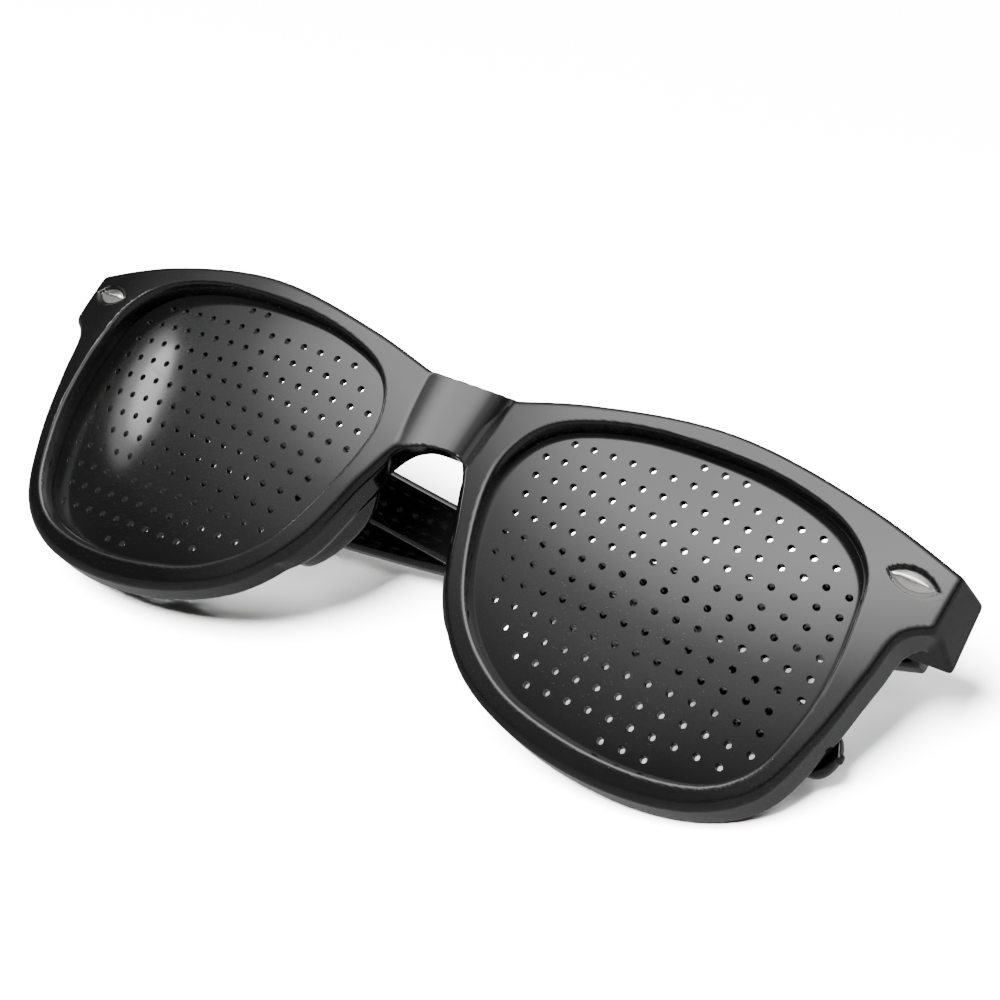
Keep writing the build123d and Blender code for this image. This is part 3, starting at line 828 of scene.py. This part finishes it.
def front_field(x, y, z, outline, opening):
    """The front moulding's field for one half; x isn't below zero."""
    face = ball(x, y, z, (LOBE_X, FACE_RADIUS, 0), FACE_RADIUS)
    back = -ball(x, y, z, LENS_CENTRE, BACK_RADIUS)
    shape = both(outline, back, SOFT["back edge"])
    shape = either(shape, end_block(x, y, z), SOFT["block joint"])
    shape = either(shape, nose_pad(x, y, z, outline), SOFT["pad joint"])
    shape = both(shape, face, SOFT["face edge"])
    cut = (face + outline) / math.sqrt(2)
    cut[0] += EDGE_CUT
    shape = both(shape, cut, SOFT["edge cut"])
    flare = math.tan(math.radians(BLOCK_FLARE))
    flared = flat_side(x, y, z, (1, -flare, 0), BLOCK_OUTER - BUTT_Y * flare)
    shape = both(shape, flared, SOFT["flare"])
    shape = both(shape, bridge_saddle(x, y, z), SOFT["saddle"])
    shape = both(shape, -opening, SOFT["opening"])
    shape = both(shape, -lens_slope(face, opening), SOFT["slope"])
    shape = both(shape, -hinge_room(x, y, z), SOFT["barrel"])
    return both(shape, -stud_recess(x, y, z), SOFT["recess"])


def grid_inside(axes, outline, opening):
    """Which places of a grid lie inside the front moulding."""
    xs, ys, zs = axes
    gx, gz = np.meshgrid(np.abs(xs), zs, indexing="ij")
    x, z = gx.ravel(), gz.ravel()
    flat_out, flat_in = outline.field(x, z), opening.field(x, z)
    inside = np.empty((len(xs), len(ys), len(zs)), bool)
    for j, y in enumerate(ys):
        field = front_field(x, np.full(x.size, y), z, flat_out, flat_in)
        inside[:, j] = field[0].reshape(gx.shape) < 0
    return inside


def cells_and_quads(inside):
    """The cells that the surface passes through, and the quads that join them."""
    nx, ny, nz = (n - 1 for n in inside.shape)
    total = sum(inside[a:a + nx, b:b + ny, c:c + nz].astype(int)
                for a in (0, 1) for b in (0, 1) for c in (0, 1))
    cells = np.argwhere((total > 0) & (total < 8))
    number = np.full(total.shape, -1)
    number[tuple(cells.T)] = np.arange(len(cells))
    quads = []
    for axis in range(3):
        b, c = (axis + 1) % 3, (axis + 2) % 3
        first = np.take(inside, range(inside.shape[axis] - 1), axis)
        second = np.take(inside, range(1, inside.shape[axis]), axis)
        for leaving in (False, True):
            where = np.argwhere(first & ~second if leaving else ~first & second)
            beside = where[:, (b, c)]
            where = where[((beside > 0) & (beside < (total.shape[b], total.shape[c]))).all(1)]
            four = []
            for step_b, step_c in ((1, 1), (0, 1), (0, 0), (1, 0)):
                cell = where.copy()
                cell[:, b] -= step_b
                cell[:, c] -= step_c
                four.append(number[tuple(cell.T)])
            joined = np.stack(four, 1)
            quads.append(joined if leaving else joined[:, ::-1])
    return cells, np.vstack(quads)


def settled(p, quads, field_at):
    """Moves points onto the surface, and at first also along it to even them out."""
    steps, spread_steps, spread, least_slope = 5, 3, 0.6, 0.2
    edges = np.vstack([quads[:, [k, (k + 1) % 4]] for k in range(4)])
    for step in range(steps):
        f = field_at(p)
        p = p - f[1:] * f[0] / np.maximum((f[1:] ** 2).sum(0), least_slope)
        if step < spread_steps:
            middle, count = np.zeros_like(p), np.zeros(p.shape[1])
            for one, two in ((0, 1), (1, 0)):
                for k in range(3):
                    middle[k] += np.bincount(edges[:, one], p[k][edges[:, two]], p.shape[1])
                count += np.bincount(edges[:, one], minlength=p.shape[1])
            shift = middle / count - p
            normal = f[1:] / np.linalg.norm(f[1:], axis=0)
            p = p + spread * (shift - normal * (shift * normal).sum(0))
    return p


def front_piece(name, node):
    """Meshes the field in small cells and puts every corner exactly on the surface."""
    half = open_curve([KINK, *at_size(TOP_SHARES)]) + open_curve(at_size(LOW_SHARES))
    whole = BRIDGE_TOP + [tuple(p) for p in half]
    whole += [(-p[0], p[1]) for p in reversed(whole[1:-1])]
    outline = Outline(whole, spacing=0.25, softness=2)
    opening = Outline(lens_curve, spacing=0.2, softness=1)

    def field_at(p):
        x = np.abs(p[0])
        f = front_field(x, p[1], p[2], outline.field(x, p[2]), opening.field(x, p[2]))
        f[1] *= np.where(p[0] < 0, -1, 1)
        return f

    axes = [np.arange(low, high, CELL) for low, high in GRID]
    cells, quads = cells_and_quads(grid_inside(axes, outline, opening))
    p = np.stack([axis[cells[:, k]] for k, axis in enumerate(axes)]) + CELL / 2
    p = settled(p, quads, field_at)
    normal = field_at(p)[1:]
    normal /= np.linalg.norm(normal, axis=0)
    a, b, c = (p[:, quads[:, k]] for k in (0, 1, 2))
    if (np.cross(b - a, c - a, axis=0) * normal[:, quads[:, 0]]).sum() < 0:
        quads = quads[:, ::-1]
    mesh = bpy.data.meshes.new(name)
    mesh.from_pydata([laid_down @ Vector(v) for v in p.T], [], quads.tolist())
    turn = laid_down.to_3x3()
    mesh.shade_smooth()
    mesh.normals_split_custom_set_from_vertices([(turn @ Vector(n)).normalized() for n in normal.T])
    mesh.materials.append(frame_plastic)
    piece = bpy.data.objects.new(name, mesh)
    bpy.context.scene.collection.objects.link(piece)
    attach(piece, "front")
    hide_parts(node)


front_piece("front_moulding", "front_frame")


# hinge screws
def screw_piece(name, side, node):
    """A pin with a domed, slotted head."""
    low = HINGE_Z - BARREL_HEIGHT / 2
    top = low + BARREL_HEIGHT
    outline = [(SCREW_POINT, low), (SCREW_RADIUS, low + SCREW_TAPER), (SCREW_RADIUS, top), (HEAD_RADIUS, top)]
    outline += [(HEAD_RADIUS - inwards, top + up) for inwards, up in HEAD_DOME]
    outline.append((HEAD_FLAT, top + HEAD_HEIGHT))
    matrix = placed(side)
    pin = turned((HINGE_X, BUTT_Y), outline, SCREW_SIDES)
    piece = make_piece(name, pin, matrix, hinge_metal, "front", node)
    slot = block((HINGE_X - SLOT_OVERRUN, BUTT_Y - SLOT_HALF_WIDTH, top + SLOT_FLOOR),
                 (HINGE_X + SLOT_OVERRUN, BUTT_Y + SLOT_HALF_WIDTH, top + SLOT_OVERRUN))
    cut_away(piece, [cutter(slot, matrix)])


screw_piece("left_screw", 1, "left_hinge_screw")
screw_piece("right_screw", -1, "right_hinge_screw")

# the hinge leaves are the CAD's own solids and get their material
for node in ("left_front_hinge_leaf", "right_front_hinge_leaf", "left_temple_hinge_leaf",
             "right_temple_hinge_leaf"):
    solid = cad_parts[node]
    solid.data.materials.clear()
    solid.data.materials.append(hinge_metal)

# floor
floor_bm = bmesh.new()
bmesh.ops.create_grid(floor_bm, x_segments=8, y_segments=8, size=FLOOR_HALF_SIZE)
floor_mesh = bpy.data.meshes.new("floor")
floor_bm.to_mesh(floor_mesh)
floor_bm.free()
floor_mesh.materials.append(pale_floor())
floor = bpy.data.objects.new("floor", floor_mesh)
bpy.context.scene.collection.objects.link(floor)
floor.visible_glossy = False


# studio light
def studio_world():
    """Bright overhead, dark towards the horizon and the front, brighter on the right.

    Only mirrored light comes from it: the floor is lit by the soft boxes.
    """
    world = bpy.data.worlds.new("studio")
    bpy.context.scene.world = world
    world.use_nodes = True
    world.cycles_visibility.diffuse = False
    nodes, links = world.node_tree.nodes, world.node_tree.links
    background = nodes["Background"]
    place = nodes.new("ShaderNodeTexCoord").outputs["Generated"]
    towards_right = nodes.new("ShaderNodeVectorMath")
    towards_right.operation = "DOT_PRODUCT"
    towards_right.inputs[1].default_value = SKY_BRIGHT_SIDE
    brightness = nodes.new("ShaderNodeMapRange")
    for key, value in (("From Min", -1.0), ("From Max", 1.0), ("To Min", SKY_LEAST), ("To Max", SKY_MOST)):
        brightness.inputs[key].default_value = value
    links.new(place, towards_right.inputs[0])
    links.new(towards_right.outputs["Value"], brightness.inputs["Value"])
    links.new(brightness.outputs["Result"], background.inputs[1])
    parts = nodes.new("ShaderNodeSeparateXYZ")
    front_side = nodes.new("ShaderNodeMath")
    front_side.operation = "MINIMUM"
    front_side.inputs[1].default_value = 0.0
    lowered = nodes.new("ShaderNodeMath")
    lowered.operation = "MULTIPLY_ADD"
    lowered.inputs[1].default_value = SKY_FRONT_DARKENING
    ramp = nodes.new("ShaderNodeValToRGB")
    links.new(place, parts.inputs[0])
    links.new(parts.outputs["Y"], front_side.inputs[0])
    links.new(front_side.outputs[0], lowered.inputs[0])
    links.new(parts.outputs["Z"], lowered.inputs[2])
    links.new(lowered.outputs[0], ramp.inputs[0])
    links.new(ramp.outputs[0], background.inputs[0])
    elements = ramp.color_ramp.elements
    while len(elements) > 1:
        elements.remove(elements[0])
    elements[0].position, elements[0].color = SKY_STOPS[0][0], (*grey(SKY_STOPS[0][1]), 1)
    for position, value in SKY_STOPS[1:]:
        elements.new(position).color = (*grey(value), 1)


def soft_box(name, azimuth, elevation, distance, width, height, radiance):
    """A soft oval light facing the glasses."""
    a, e = math.radians(azimuth), math.radians(elevation)
    towards = Vector((math.cos(a) * math.cos(e), math.sin(a) * math.cos(e), math.sin(e)))
    data = bpy.data.lights.new(name, "AREA")
    data.shape = "ELLIPSE"
    data.size, data.size_y = width, height
    data.energy = radiance * math.pi * math.pi * width * height / 4
    light = bpy.data.objects.new(name, data)
    light.location = towards * distance
    light.rotation_mode = "QUATERNION"
    light.rotation_quaternion = towards.to_track_quat("Z", "Y")
    bpy.context.scene.collection.objects.link(light)
    return light


studio_world()
# the first two make the streak on the left lens, the others light the floor
soft_box("left_strip", -177, 29, 1.0, 0.28, 0.10, 8.0)
soft_box("left_glow", -177, 27, 1.1, 0.44, 0.17, 2.5)
for light in (soft_box("key", -95, 57, 1.5, 0.80, 0.80, 385.0),
              soft_box("fill", 20, 60, 1.5, 1.20, 1.20, 10.0)):
    light.visible_glossy = False

# camera
camera_turn = Matrix((Vector(CAMERA_RIGHT), Vector(CAMERA_UP), -Vector(CAMERA_FORWARD))).transposed()
camera_data = bpy.data.cameras.new("camera")
camera_data.lens, camera_data.sensor_width = CAMERA_LENS, CAMERA_SENSOR
camera_data.clip_start, camera_data.clip_end = 0.01, 20.0
camera = bpy.data.objects.new("camera", camera_data)
camera.matrix_world = Matrix.Translation(CAMERA_PLACE) @ camera_turn.to_4x4()
bpy.context.scene.collection.objects.link(camera)
bpy.context.scene.camera = camera
